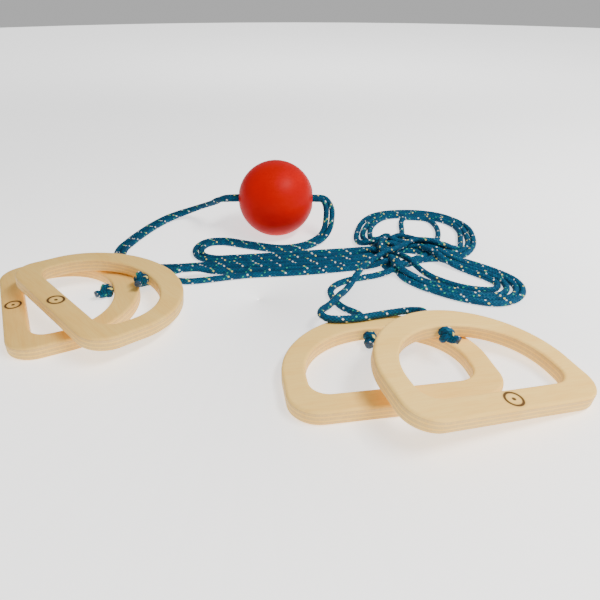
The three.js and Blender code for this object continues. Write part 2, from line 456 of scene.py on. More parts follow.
# ---------------------------------------------------------------- meshes
def unit(vectors: Array) -> Array:
    """The vectors, each made one long."""
    return vectors / np.linalg.norm(vectors, axis=-1, keepdims=True)


def link(name: str, mesh: Any) -> Any:
    """Puts a mesh into the scene as an object with that name."""
    made = bpy.data.objects.new(name, mesh)
    bpy.context.scene.collection.objects.link(made)
    return made


def grid_object(name: str, grid: Array, closed_rows: bool, uv: Array | None = None) -> Any:
    """Makes a mesh object from a grid of points whose columns close on themselves.

    Args:
        name: the object's name.
        grid: rows by columns by 3 points.
        closed_rows: whether the last row joins the first. If not, both end rows get a flat cap.
        uv: (rows, columns + 1, 2) places on the UV map, with the first column again after the
            last one, or nothing.

    Returns:
        The object, shaded smooth.
    """
    rows, columns = grid.shape[:2]
    row = np.arange(rows if closed_rows else rows - 1)
    column = np.arange(columns)
    i, j = np.meshgrid(row, column, indexing="ij")
    after_i, after_j = (i + 1) % rows, (j + 1) % columns
    corners = np.stack([i * columns + j, i * columns + after_j,
                        after_i * columns + after_j, after_i * columns + j], axis=-1).reshape(-1, 4)
    faces = corners.tolist()
    if not closed_rows:
        faces.append(list(range(columns))[::-1])
        faces.append([(rows - 1) * columns + k for k in range(columns)])
    mesh = bpy.data.meshes.new(name)
    mesh.from_pydata(grid.reshape(-1, 3).tolist(), [], faces)
    mesh.polygons.foreach_set("use_smooth", np.ones(len(mesh.polygons), bool))
    if uv is not None:
        places = np.stack([uv[i, j], uv[i, j + 1], uv[i + 1, j + 1], uv[i + 1, j]], axis=2).reshape(-1, 2)
        caps = np.zeros((len(mesh.loops) - len(places), 2))
        caps[:columns] = uv[0, :columns][::-1]
        caps[columns:] = uv[-1, :columns]
        layer = mesh.uv_layers.new(name="cord")
        layer.data.foreach_set("uv", np.concatenate([places, caps]).astype(np.float32).ravel())
    mesh.update()
    return link(name, mesh)


def revolved(profile: Array, turns: int) -> Array:
    """Turns a closed profile about the x axis.

    Args:
        profile: (n, 2) places: along the axis and away from it.
        turns: how many steps there are in the whole turn.

    Returns:
        The grid of points: steps by profile points by 3.
    """
    angle = np.linspace(0.0, 2.0 * math.pi, turns, endpoint=False)[:, None]
    along = np.broadcast_to(profile[None, :, 0], (turns, len(profile)))
    return np.stack([along, profile[:, 1] * np.cos(angle), profile[:, 1] * np.sin(angle)], axis=-1)


def smooth_line(points: Array, step: float) -> Array:
    """A centripetal Catmull-Rom curve through the points, with stations an equal way apart.

    Args:
        points: (n, 3 or more) places, and after them any numbers that go along.
        step: the way between stations, at most.

    Returns:
        The stations, with the same columns.
    """
    ends = np.vstack([2 * points[0] - points[1], points, 2 * points[-1] - points[-2]])
    p0, p1, p2, p3 = (ends[k : k + len(points) - 1, None, :] for k in range(4))
    gaps = [
        np.sqrt(np.linalg.norm((b - a)[..., :3], axis=-1, keepdims=True))
        for a, b in ((p0, p1), (p1, p2), (p2, p3))
    ]
    t1 = gaps[0]
    t2 = t1 + gaps[1]
    t3 = t2 + gaps[2]
    t = t1 + (t2 - t1) * np.linspace(0.0, 1.0, CURVE_STEPS, endpoint=False)[None, :, None]
    a1 = (t1 - t) / t1 * p0 + t / t1 * p1
    a2 = (t2 - t) / (t2 - t1) * p1 + (t - t1) / (t2 - t1) * p2
    a3 = (t3 - t) / (t3 - t2) * p2 + (t - t2) / (t3 - t2) * p3
    b1 = (t2 - t) / t2 * a1 + t / t2 * a2
    b2 = (t3 - t) / (t3 - t1) * a2 + (t - t1) / (t3 - t1) * a3
    curve = ((t2 - t) / (t2 - t1) * b1 + (t - t1) / (t2 - t1) * b2).reshape(-1, points.shape[1])
    return even(np.vstack([curve, points[-1]]), step)


def even(line: Array, step: float) -> Array:
    """The line with its stations an equal way apart, at most the step."""
    along = lengths(line)
    count = max(2, math.ceil(along[-1] / step) + 1)
    at = np.linspace(0.0, along[-1], count)
    return np.stack([np.interp(at, along, column) for column in line.T], axis=-1)


def lengths(line: Array) -> Array:
    """How far along the line each of its stations is."""
    return np.concatenate([[0.0], np.cumsum(np.linalg.norm(np.diff(line[:, :3], axis=0), axis=1))])


def rolling_frames(line: Array) -> tuple[Array, Array]:
    """Two directions across the line at each station, carried along it without twist.

    Args:
        line: (n, 3) stations.

    Returns:
        The two directions, each (n, 3).
    """
    tangent = unit(np.gradient(line, axis=0))
    side = np.empty_like(tangent)
    start = np.cross(tangent[0], (0.0, 0.0, 1.0))
    side[0] = unit(start)
    for k in range(1, len(line)):
        carried = side[k - 1] - tangent[k] * (side[k - 1] @ tangent[k])
        side[k] = carried / math.sqrt(carried @ carried)
    return side, np.cross(side, tangent)


# ---------------------------------------------------------------- handles
class HandleName(Enum):
    """The four handles. Each upper one lies partly on the lower one of its pair."""

    LEFT_LOWER = "left_lower"
    LEFT_UPPER = "left_upper"
    RIGHT_LOWER = "right_lower"
    RIGHT_UPPER = "right_upper"


@dataclass(frozen=True)
class Resting:
    """How a handle lies: the middle of its plate in the layout, and its turns in degrees."""

    x: float
    y: float
    lift: float
    lean_x: float
    lean_y: float
    turn: float
    tail: tuple[float, float]

    def rotation(self) -> Array:
        """The turn about z, then about y, then about x, as one 3 by 3 matrix."""
        a, b, c = (math.radians(v) for v in (self.lean_x, self.lean_y, self.turn))
        about_x = np.array([[1, 0, 0], [0, math.cos(a), -math.sin(a)], [0, math.sin(a), math.cos(a)]])
        about_y = np.array([[math.cos(b), 0, math.sin(b)], [0, 1, 0], [-math.sin(b), 0, math.cos(b)]])
        about_z = np.array([[math.cos(c), -math.sin(c), 0], [math.sin(c), math.cos(c), 0], [0, 0, 1]])
        return about_x @ about_y @ about_z


RESTING = {
    HandleName.LEFT_LOWER: Resting(-0.171, -0.006, 0.0, 0.0, 0.0, -63.4, (0.2, -1.0)),
    HandleName.LEFT_UPPER: Resting(-0.1377, -0.0146, 0.012, -1.3, 4.8, -45.2, (0.9, -1.0)),
    HandleName.RIGHT_LOWER: Resting(0.0516, -0.0846, 0.0, 0.0, 0.0, 9.0, (-0.5, -1.0)),
    HandleName.RIGHT_UPPER: Resting(0.1006, -0.1005, 0.0115, 1.0, 8.9, 20.0, (0.6, -1.0)),
}


@dataclass
class Handle:
    """A D-shaped plywood handle: a grip bar closed by a bow whose crown the cord goes through."""

    name: HandleName
    shift: Array
    width: float = 0.130
    height: float = 0.097
    thickness: float = 0.010
    bar: float = 0.016
    side: float = 0.0145
    crown: float = 0.019
    shoulder: float = 0.037
    inner_shoulder: float = 0.034
    bow: float = 1.95
    inner_bow: float = 2.1
    corner: float = 0.019
    inner_corner: float = 0.0125
    edge: float = 0.0020
    bore_radius: float = 0.0029
    bow_steps: int = 150
    corner_steps: int = 18
    straight_steps: int = 14
    edge_steps: int = 7
    edge_support: float = 0.0004
    drill_over: float = 0.8
    drill_sides: int = 28
    sharp_angle: float = 50.0

    @property
    def resting(self) -> Resting:
        """How this handle lies."""
        return RESTING[self.name]

    def laid(self, local: Array) -> Array:
        """Places of the flat handle, laid down as it rests."""
        lie = self.resting
        middle = self.shift + (lie.x, lie.y, lie.lift + self.thickness / 2)
        return local @ lie.rotation().T + middle

    def flat(self, places: Array) -> Array:
        """Places of the resting handle, back in the flat one's frame."""
        lie = self.resting
        middle = self.shift + (lie.x, lie.y, lie.lift + self.thickness / 2)
        return (places - middle) @ lie.rotation()

    def outline(self, inner: bool) -> Array:
        """One of the board's two outlines, anticlockwise from the right shoulder.

        The bow is half a superellipse, |x / a| ** n + |y / b| ** n = 1, over the shoulders. Below it
        come a straight side, a corner arc, the grip bar, the other corner arc and the other side.

        Args:
            inner: whether it is the opening's outline.

        Returns:
            (n, 2) places, with the same n for both outlines.
        """
        half = self.height / 2
        across = self.width / 2 - (self.side if inner else 0.0)
        foot = -half + (self.bar if inner else 0.0)
        top = half - (self.crown if inner else 0.0)
        spring = (self.inner_shoulder if inner else self.shoulder) - half
        power = 2.0 / (self.inner_bow if inner else self.bow)
        radius = self.inner_corner if inner else self.corner
        angle = np.linspace(0.0, math.pi, self.bow_steps, endpoint=False)
        bow = np.stack([
            across * np.sign(np.cos(angle)) * np.abs(np.cos(angle)) ** power,
            spring + (top - spring) * np.abs(np.sin(angle)) ** power,
        ], axis=-1)
        share = np.linspace(0.0, 1.0, self.straight_steps, endpoint=False)[:, None]
        turn = np.linspace(0.0, math.pi / 2, self.corner_steps, endpoint=False)
        left_side = np.array([-across, spring]) + share * (0.0, foot + radius - spring)
        left_corner = np.array([-across + radius, foot + radius]) + radius * np.stack(
            [-np.cos(turn), -np.sin(turn)], axis=-1)
        grip = np.array([-across + radius, foot]) + share * (2 * (across - radius), 0.0)
        right_corner = np.array([across - radius, foot + radius]) + radius * np.stack(
            [np.sin(turn), -np.cos(turn)], axis=-1)
        right_side = np.array([across, foot + radius]) + share * (0.0, spring - foot - radius)
        return np.concatenate([bow, left_side, left_corner, grip, right_corner, right_side])

    def section(self) -> tuple[Array, Array, Array]:
        """The board's section, with its long edges rounded.

        Returns:
            For each point, the share of the board's width, the way past it, and the height.
        """
        half = self.thickness / 2
        quarter = np.linspace(0.0, math.pi / 2, self.edge_steps)
        back = self.edge * (1.0 - np.sin(quarter))
        level = half - self.edge * (1.0 - np.cos(quarter))
        support = self.edge + self.edge_support
        past = np.concatenate([[0.0, 0.0, support], back, [0.0], back[::-1], [support, 0.0, 0.0]])
        share = np.concatenate([[0.5, 0.25, 0.0], np.zeros(2 * self.edge_steps + 1), [0.0, 0.25, 0.5]])
        height = np.concatenate([[half] * 3, level, [0.0], -level[::-1], [-half] * 3])
        share = np.concatenate([share, 1.0 - share[-2:0:-1]])
        past = np.concatenate([past, -past[-2:0:-1]])
        height = np.concatenate([height, height[-2:0:-1]])
        return share, past, height

    def board(self) -> Any:
        """Builds the board, cuts the cord's bore and stores each point's place on the handle.

        Each point is outer + way * (share * width + past), where way and width are the direction
        and the distance from the outer outline to the opening's.

        Returns:
            The board's object.
        """
        outer, inner = self.outline(False), self.outline(True)
        span = inner - outer
        width = np.linalg.norm(span, axis=1, keepdims=True)
        share, past, height = self.section()
        into = width * share + past
        plan = outer[:, None, :] + (span / width)[:, None, :] * into[:, :, None]
        level = np.broadcast_to(height, plan.shape[:2])[:, :, None]
        local = np.concatenate([plan, level], axis=-1)[:, ::-1]
        board = grid_object(f"board_{self.name.value}", self.laid(local), True)
        self.cut_bore(board)
        places = np.empty(len(board.data.vertices) * 3, np.float32)
        board.data.vertices.foreach_get("co", places)
        stored = board.data.attributes.new("board", "FLOAT_VECTOR", "POINT")
        stored.data.foreach_set("vector", self.flat(places.reshape(-1, 3)).astype(np.float32).ravel())
        board.data.set_sharp_from_angle(angle=math.radians(self.sharp_angle))
        return board

    def cut_bore(self, board: Any) -> None:
        """Cuts the cord's bore through the crown, along the flat handle's y axis."""
        half = self.height / 2
        long = self.crown * self.drill_over
        reach = np.array([half - self.crown / 2 - long, half - self.crown / 2 + long])
        radius = np.full(2, self.bore_radius)
        drill_grid = revolved(np.stack([reach, radius], axis=-1), self.drill_sides)
        drill_grid = np.stack([drill_grid[..., 1], drill_grid[..., 0], drill_grid[..., 2]], axis=-1)
        drill = grid_object("drill", self.laid(drill_grid.transpose(1, 0, 2)), False)
        cut = board.modifiers.new("bore", "BOOLEAN")
        cut.operation = "DIFFERENCE"
        cut.solver = "EXACT"
        cut.object = drill
        evaluated = board.evaluated_get(bpy.context.evaluated_depsgraph_get())
        mesh = bpy.data.meshes.new_from_object(evaluated)
        board.modifiers.clear()
        board.data = mesh
        bpy.data.objects.remove(drill)

    def mouth(self, out: float) -> Array:
        """The place that far outside the bore, on the bore's axis."""
        return self.laid(np.array([0.0, self.height / 2 + out, 0.0]))

    def dress(self) -> Any:
        """Builds the board, gives it its finish and lets it ride on its body.

        Returns:
            The board's object.
        """
        board = self.board()
        finish = PlyFinish(self.thickness, (0.0, (self.bar - self.height) / 2))
        board.data.materials.clear()
        board.data.materials.append(finish.material(f"birch_ply_{self.name.value}"))
        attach(board, f"{self.name.value}_handle")
        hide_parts(f"handle_{self.name.value}")
        return board


# ---------------------------------------------------------------- ball
@dataclass
class Ball:
    """The bored wooden ball that shuttles along the two cords."""

    centre: Array
    radius: float = 0.035
    bore_radius: float = 0.0065
    lip: float = 0.0014
    turns: int = 144
    arc_steps: int = 120
    lip_steps: int = 10
    wall_steps: int = 12

    def profile(self) -> Array:
        """The half section of the ball, closed through the wall of its bore.

        The sphere's arc, x = r cos t and rho = r sin t, ends where a lip of the given radius
        touches it inside, and the lip leads into the straight wall.

        Returns:
            (n, 2) places: along the bore and away from its axis.
        """
        lip_level = self.bore_radius + self.lip
        reach = self.radius - self.lip
        lip_place = math.sqrt(reach**2 - lip_level**2)
        touch = math.atan2(lip_level, lip_place)
        sphere = np.linspace(touch, math.pi - touch, self.arc_steps)
        arc = np.stack([self.radius * np.cos(sphere), self.radius * np.sin(sphere)], axis=-1)
        bend = np.linspace(math.pi - touch, 1.5 * math.pi, self.lip_steps)[1:]
        left = np.stack(
            [-lip_place + self.lip * np.cos(bend), lip_level + self.lip * np.sin(bend)], axis=-1)
        along = np.linspace(-lip_place, lip_place, self.wall_steps + 2)[1:-1]
        wall = np.stack([along, np.full(self.wall_steps, self.bore_radius)], axis=-1)
        right = left[::-1] * (-1.0, 1.0)
        return np.concatenate([arc, left, wall, right])

    def dress(self) -> Any:
        """Builds the ball, gives it its lacquer and lets it ride on its body.

        Returns:
            The ball's object.
        """
        ball = grid_object("ball_turned", revolved(self.profile(), self.turns) + self.centre, True)
        finish = LacquerFinish(tuple(self.centre))
        ball.data.materials.append(finish.material("red_lacquer"))
        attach(ball, "ball")
        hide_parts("ball")
        return ball


# ---------------------------------------------------------------- cords
PAIR_ROUTE: Points = (
    (-0.0409, 0.055, 0.0026), (-0.062, 0.055, 0.0026), (-0.084, 0.052, 0.0026),
    (-0.106, 0.049, 0.0026), (-0.127, 0.049, 0.0026), (-0.144, 0.054, 0.0026), (-0.156, 0.067, 0.0026),
    (-0.16, 0.086, 0.0026), (-0.157, 0.102, 0.0026), (-0.15, 0.126, 0.0026), (-0.142, 0.146, 0.0026),
    (-0.133, 0.16, 0.0034), (-0.123, 0.166, 0.0055), (-0.11, 0.166, 0.01), (-0.097, 0.158, 0.017),
    (-0.083, 0.144, 0.026), (-0.076, 0.136, 0.032), (-0.0675, 0.1305, 0.035), (0.0125, 0.1305, 0.035),
    (0.0225, 0.1296, 0.034), (0.027, 0.124, 0.027), (0.027, 0.119, 0.02), (0.0255, 0.114, 0.0125),
    (0.021, 0.108, 0.0065), (0.012, 0.1, 0.0034), (0.0, 0.092, 0.0026), (-0.018, 0.088, 0.0026),
    (-0.045, 0.0955, 0.0026), (-0.071, 0.104, 0.0026), (-0.085, 0.101, 0.0026),
    (-0.091, 0.088, 0.0026), (-0.087, 0.073, 0.0026), (-0.074, 0.066, 0.0026), (-0.058, 0.067, 0.0026),
    (-0.0409, 0.069, 0.0026),
)
OUTSIDE_ROUTES: dict[HandleName, Points] = {
    HandleName.LEFT_LOWER: (
        (-0.1202, 0.0194, 0.005), (-0.1148, 0.0221, 0.0048), (-0.103, 0.026, 0.0034),
        (-0.091, 0.0255, 0.0026), (-0.076, 0.028, 0.0026), (-0.057, 0.033, 0.0026),
        (-0.0409, 0.0365, 0.0026),
    ),
    HandleName.LEFT_UPPER: (
        (-0.0975, 0.0253, 0.0127), (-0.0933, 0.0296, 0.012), (-0.084, 0.0365, 0.0086),
        (-0.072, 0.0405, 0.0042), (-0.057, 0.043, 0.0026), (-0.0409, 0.045, 0.0026),
    ),
    HandleName.RIGHT_LOWER: (
        (0.0422, -0.0286, 0.0046), (0.0386, -0.0236, 0.0038), (0.0332, -0.0175, 0.0029),
        (0.0282, -0.0095, 0.0026), (0.0246, 0.001, 0.0026), (0.024, 0.011, 0.0026),
        (0.0295, 0.0205, 0.0026), (0.04, 0.028, 0.0026), (0.051, 0.032, 0.0026),
        (0.0603, 0.035, 0.0026),
    ),
    HandleName.RIGHT_UPPER: (
        (0.0806, -0.0472, 0.0189), (0.0748, -0.0426, 0.0162), (0.0645, -0.0408, 0.0136),
        (0.0525, -0.0432, 0.0129), (0.04, -0.0468, 0.0128), (0.028, -0.0483, 0.0128),
        (0.0185, -0.047, 0.0128), (0.0146, -0.041, 0.0124), (0.0156, -0.033, 0.011),
        (0.0203, -0.0245, 0.0093), (0.0255, -0.0155, 0.0088), (0.03, -0.0065, 0.0084),
        (0.034, 0.003, 0.0058), (0.0395, 0.015, 0.0054), (0.0455, 0.026, 0.0088),
        (0.052, 0.0385, 0.0098),
    ),
}
LOOP_ROUTES: dict[str, Points] = {
    "UPPER_RETURN": (
        (0.048, 0.056), (0.066, 0.06), (0.0694, 0.0668), (0.0768, 0.0483), (0.0833, 0.0301),
        (0.0971, 0.0184), (0.1117, 0.0034), (0.1267, -0.0028), (0.1462, -0.012), (0.1636, -0.0063),
        (0.1751, 0.0088), (0.1735, 0.0284), (0.162, 0.0414), (0.1472, 0.0545), (0.1307, 0.066),
        (0.1188, 0.0804), (0.085, 0.086), (0.066, 0.07), (0.048, 0.063),
    ),
    "LOWER_RETURN": (
        (0.048, 0.05), (0.085, 0.056), (0.108, 0.074), (0.124, 0.098), (0.133, 0.125), (0.133, 0.149),
        (0.127, 0.164), (0.116, 0.171), (0.105, 0.164), (0.1, 0.148), (0.0985, 0.128), (0.095, 0.109),
        (0.086, 0.094), (0.07, 0.081), (0.048, 0.07),
    ),
    "TO_RIGHT_LOWER": (
        (0.048, 0.085), (0.066, 0.089), (0.11, 0.096), (0.1197, 0.0832), (0.1351, 0.0753), (0.1494, 0.0861),
        (0.1564, 0.1019), (0.1573, 0.1176), (0.1583, 0.135), (0.1523, 0.1516), (0.1395, 0.1661),
        (0.1225, 0.1684), (0.1034, 0.1726), (0.0851, 0.1725), (0.0758, 0.1615), (0.0666, 0.1434),
        (0.0598, 0.126), (0.0572, 0.1095), (0.0744, 0.0868), (0.0767, 0.0709), (0.0823, 0.0535),
        (0.091, 0.0378), (0.099, 0.0245), (0.1146, 0.0147), (0.1265, 0.0046), (0.1437, -0.0013),
        (0.1574, 0.0028), (0.1655, 0.015), (0.1628, 0.0302), (0.1517, 0.0451), (0.1382, 0.0529),
        (0.1249, 0.0664), (0.094, 0.062), (0.077, 0.039),
    ),
    "TO_RIGHT_UPPER": (
        (0.048, 0.077), (0.062, 0.074), (0.0842, 0.0772), (0.0895, 0.0589), (0.098, 0.0481),
        (0.1037, 0.0368), (0.1154, 0.0246), (0.1267, 0.0154), (0.1405, 0.011), (0.1537, 0.0097),
        (0.1603, 0.0199), (0.1516, 0.0333), (0.1402, 0.0436), (0.131, 0.0559), (0.1209, 0.0669),
        (0.1136, 0.0792), (0.1055, 0.0918), (0.0561, 0.0908), (0.0516, 0.1095), (0.0552, 0.128),
        (0.0605, 0.1489), (0.0712, 0.1674), (0.0855, 0.1764), (0.1073, 0.1794), (0.1237, 0.1783),
        (0.1445, 0.1701), (0.156, 0.1558), (0.1651, 0.1366), (0.1635, 0.1175), (0.1597, 0.0974),
        (0.1514, 0.082), (0.1379, 0.0677), (0.121, 0.0811), (0.1084, 0.0952), (0.0911, 0.1099),
        (0.0701, 0.0846), (0.0732, 0.0694), (0.0749, 0.0496), (0.0855, 0.0346), (0.0975, 0.0194),
        (0.112, 0.0105), (0.1304, -0.0018), (0.1439, -0.0034), (0.161, -0.0033), (0.1729, 0.0119),
        (0.1717, 0.0292), (0.1576, 0.0432), (0.1444, 0.056), (0.1308, 0.0648), (0.1175, 0.0821),
        (0.1069, 0.0924), (0.0675, 0.0948), (0.0654, 0.1093), (0.0668, 0.1276), (0.0694, 0.1422),
        (0.0793, 0.1593), (0.09, 0.1684), (0.1059, 0.1685), (0.1206, 0.1656), (0.1364, 0.1621),
        (0.1507, 0.1504), (0.1549, 0.137), (0.1531, 0.1206), (0.1481, 0.1034), (0.1443, 0.0858),
        (0.1305, 0.0795), (0.1187, 0.0837), (0.1073, 0.0962), (0.078, 0.07), (0.06, 0.05),
    ),
}
# Where each cord passes through the gathered stretch: on its way out, back in, and out again.
BUNDLE_STRANDS: dict[str, tuple[Points, Points, Points]] = {
    "a": (((0.0, 0.048), (0.048, 0.056)), ((0.0, 0.055), (0.048, 0.063)), ((0.0, 0.078), (0.048, 0.085))),
    "b": (((0.0, 0.041), (0.048, 0.050)), ((0.0, 0.062), (0.048, 0.070)), ((0.0, 0.070), (0.048, 0.077))),
}
BALL_IN_LAYOUT = np.array([-0.0225, 0.1305, 0.035])


def beside(route: Array, offset: float) -> Array:
    """A route moved sideways in plan, to the left of its run where the offset is positive."""
    run = np.empty((len(route), 2))
    run[1:-1] = route[2:, :2] - route[:-2, :2]
    run[0] = route[1, :2] - route[0, :2]
    run[-1] = route[-1, :2] - route[-2, :2]
    run = unit(run)
    moved = route.copy()
    moved[:, :2] += offset * np.stack([-run[:, 1], run[:, 0]], axis=-1)
    return moved


def pinned(route: Any) -> Array:
    """A route that stays where it is: each point gets a free share and a rise of 0."""
    places = np.array(route, float)
    return np.hstack([places, np.zeros((len(places), 2))])


@dataclass(frozen=True)
class Loop:
    """A stretch of cord that is dropped on the heap: its route in plan and the levels it falls from."""

    plan: Points
    low: float
    high: float
    bed: float

    def points(self) -> Array:
        """The route without its first point, with a free share of 1 and the rise it falls from."""
        plan = np.array(self.plan)
        count = len(plan)
        rise = np.linspace(self.low, self.high, count)
        made = np.column_stack([plan, np.full(count, self.bed), np.ones(count), rise])
        return made[1:]


@dataclass
class Heap:
    """Lets the loops of both cords fall onto the table and onto each other, as limp cord does.

    Every station is a bead. At each step the free beads sink, beads that are nearer than a diameter
    push each other apart, the beads of one cord keep their distance, the cord resists bending, over
    a wider reach in height alone, and no bead goes through the table. Friction holds the loops near
    their places in plan.
    """

    diameter: float
    beads: Array
    free: Array
    breaks: list[int]
    steps: int = 640
    sink: float = 0.00020
    stiffness: float = 0.45
    hold: float = 0.012
    table: float = 0.0026
    near: float = 0.0085
    skip: int = 5
    last_steps: int = 60
    last_sink: float = 0.1
    renewal: int = 5
    length_share: float = 0.45
    length_rounds: int = 2
    contact_rounds: int = 3
    wide_reach: int = 3
    wide_stiffness: float = 0.12

    def pairs(self, places: Array) -> tuple[Array, Array]:
        """The bead pairs that are near each other and not neighbours along one cord."""
        free_index = np.flatnonzero(self.free)
        some = places[free_index].astype(np.float32)
        every = places.astype(np.float32)
        square = (some**2).sum(1)[:, None] + (every**2).sum(1)[None, :] - 2.0 * some @ every.T
        row, second = np.nonzero(square < self.near**2)
        first = free_index[row]
        apart = np.abs(first - second) > self.skip
        once = (first < second) | ~self.free[second]
        return first[apart & once], second[apart & once]

    def pushed(self, places: Array, first: Array, second: Array) -> Array:
        """How far each bead is pushed by those that it touches, on average over its contacts."""
        apart = places[first] - places[second]
        distance = np.linalg.norm(apart, axis=1)
        touching = distance < self.diameter
        first, second, apart = first[touching], second[touching], apart[touching]
        distance = np.maximum(distance[touching], 1e-6)
        push = apart / distance[:, None] * (self.diameter - distance)[:, None]
        share = np.where(self.free[second], 0.5, 1.0)[:, None]
        count = np.bincount(first, minlength=len(places)) + np.bincount(second, minlength=len(places))
        total = np.stack([
            np.bincount(first, (push * share)[:, k], len(places))
            - np.bincount(second, (push * (1.0 - share))[:, k], len(places))
            for k in range(3)
        ], axis=-1)
        return total / np.maximum(count, 1)[:, None]

    def settle(self) -> Array:
        """Runs the steps.

        Returns:
            The beads' places at rest.
        """
        places = self.beads.copy()
        start = self.beads.copy()
        free = self.free[:, None]
        joined = np.ones(len(places) - 1, bool)
        joined[[k - 1 for k in self.breaks]] = False
        joined = joined[:, None]
        rest = np.linalg.norm(np.diff(start[:, :2], axis=0), axis=1, keepdims=True)
        middle = (joined[1:] & joined[:-1] & free[1:-1]).astype(float)
        wide = self.wide_reach
        for step in range(self.steps):
            falling = step < self.steps - self.last_steps
            if step % self.renewal == 0:
                first, second = self.pairs(places)
            places[:, 2:] -= free * (self.sink if falling else self.sink * self.last_sink)
            places[:, :2] += free * self.hold * (start[:, :2] - places[:, :2])
            bend = (places[2:] + places[:-2]) / 2 - places[1:-1]
            places[1:-1] += middle * self.stiffness * bend
            for _ in range(self.length_rounds):
                gap = np.diff(places, axis=0)
                long = np.linalg.norm(gap, axis=1, keepdims=True)
                fix = gap / np.maximum(long, TINY) * (long - rest) * self.length_share * joined
                places[:-1] += fix * free[:-1]
                places[1:] -= fix * free[1:]
            bend = (places[2 * wide:] + places[:-2 * wide]) / 2 - places[wide:-wide]
            places[wide:-wide, 2:] += middle[wide - 1:1 - wide] * self.wide_stiffness * bend[:, 2:]
            for _ in range(self.contact_rounds):
                places += free * self.pushed(places, first, second)
                places[:, 2] = np.maximum(places[:, 2], self.table)
            places = np.where(free, places, start)
        return places


@dataclass
class Braid:
    """The make of the cord: a round braid with the strands' relief on it."""

    radius: float = 0.0025
    strands: int = 6
    lay: float = 0.0157
    relief: float = 0.000420
    ring_step: float = 0.00074
    sides: int = 24
    sunk: float = 0.6

    def surface(self, line: Array, along: Array, side: Array, up: Array) -> tuple[Array, Array]:
        """The braid's surface along a stretch.

        With u the share of the way round and v the length along the cord, the strands' numbers are
        p = n (u + v / lay) and q = n (u - v / lay), and the surface stands out by
        relief * sqrt(|sin pi p * sin pi q|).

        Args:
            line: (n, 3) stations.
            along: (n,) the length along the whole cord at each.
            side: (n, 3) the direction across the line where u is 0.
            up: (n, 3) the direction where u is a quarter.

        Returns:
            The grid of points and the corner places of the UV map.
        """
        share = np.arange(self.sides + 1) / self.sides
        turns = along[:, None] / self.lay
        first = self.strands * (share[None, :] + turns)
        second = self.strands * (share[None, :] - turns)
        lump = np.sqrt(np.abs(np.sin(math.pi * first) * np.sin(math.pi * second)))
        radius = (self.radius - self.sunk * self.relief + self.relief * lump)[:, :-1, None]
        angle = 2.0 * math.pi * share[None, :-1, None]
        grid = line[:, None, :] + radius * (
            np.cos(angle) * side[:, None, :] + np.sin(angle) * up[:, None, :])
        uv = np.stack([np.broadcast_to(share, lump.shape),
                       np.broadcast_to(along[:, None], lump.shape)], axis=-1)
        return grid, uv


@dataclass
class Knot:
    """The stopper knot inside a handle's opening: a tight overhand knot and the cord's cut end.

    The knot is part of a trefoil on a ring about the bore's axis:
    x = (R + r cos 3t) cos 2t, z = (R + r cos 3t) sin 2t, y = f r sin 3t, from t = pi / 6 to 11 pi / 6.
    """

    handle: Handle
    ring: float = 0.0021
    ripple: float = 0.0017
    flatten: float = 1.25
    drop: float = 0.0052
    tail: float = 0.0082
    proud: float = 0.0020
    rise: float = 0.0016
    stations: int = 46
    pull_in: float = 0.75
    first_out: float = 0.0030
    second_out: float = 0.0062
    bore_start: float = 0.0005
    bore_stop: float = 0.001

    def centre(self) -> float:
        """The height of the knot's middle on the flat handle."""
        return self.handle.height / 2 - self.handle.crown - self.drop

    @property
    def raised(self) -> float:
        """How far the knot sits above the bore's middle, where its handle lies on another one."""
        return self.rise if self.handle.resting.lift > 0 else 0.0

    def line(self) -> Array:
        """The cord's route on the flat handle, from its cut end to the mouth of the bore."""
        t = np.linspace(math.pi / 6, 11 * math.pi / 6, self.stations)
        away = self.ring + self.ripple * np.cos(3 * t)
        level = self.flatten * self.ripple * np.sin(3 * t)
        knot = np.stack([away * np.cos(2 * t), level, away * np.sin(2 * t)], axis=-1)
        tail = np.array([*self.handle.resting.tail, 0.0])
        tail = tail / np.linalg.norm(tail)
        last = knot[-1]
        ends = np.array([last * self.pull_in + tail * self.first_out, tail * self.second_out,
                         tail * self.tail])
        inside = np.vstack([knot, ends])[::-1] + (0.0, self.centre(), self.raised)
        mouth = self.handle.height / 2
        inner = mouth - self.handle.crown
        levels = (inner + self.bore_start, (inner + mouth) / 2, mouth - self.bore_stop)
        bore = np.array([[0.0, y, 0.0] for y in levels])
        return np.vstack([inside, bore])


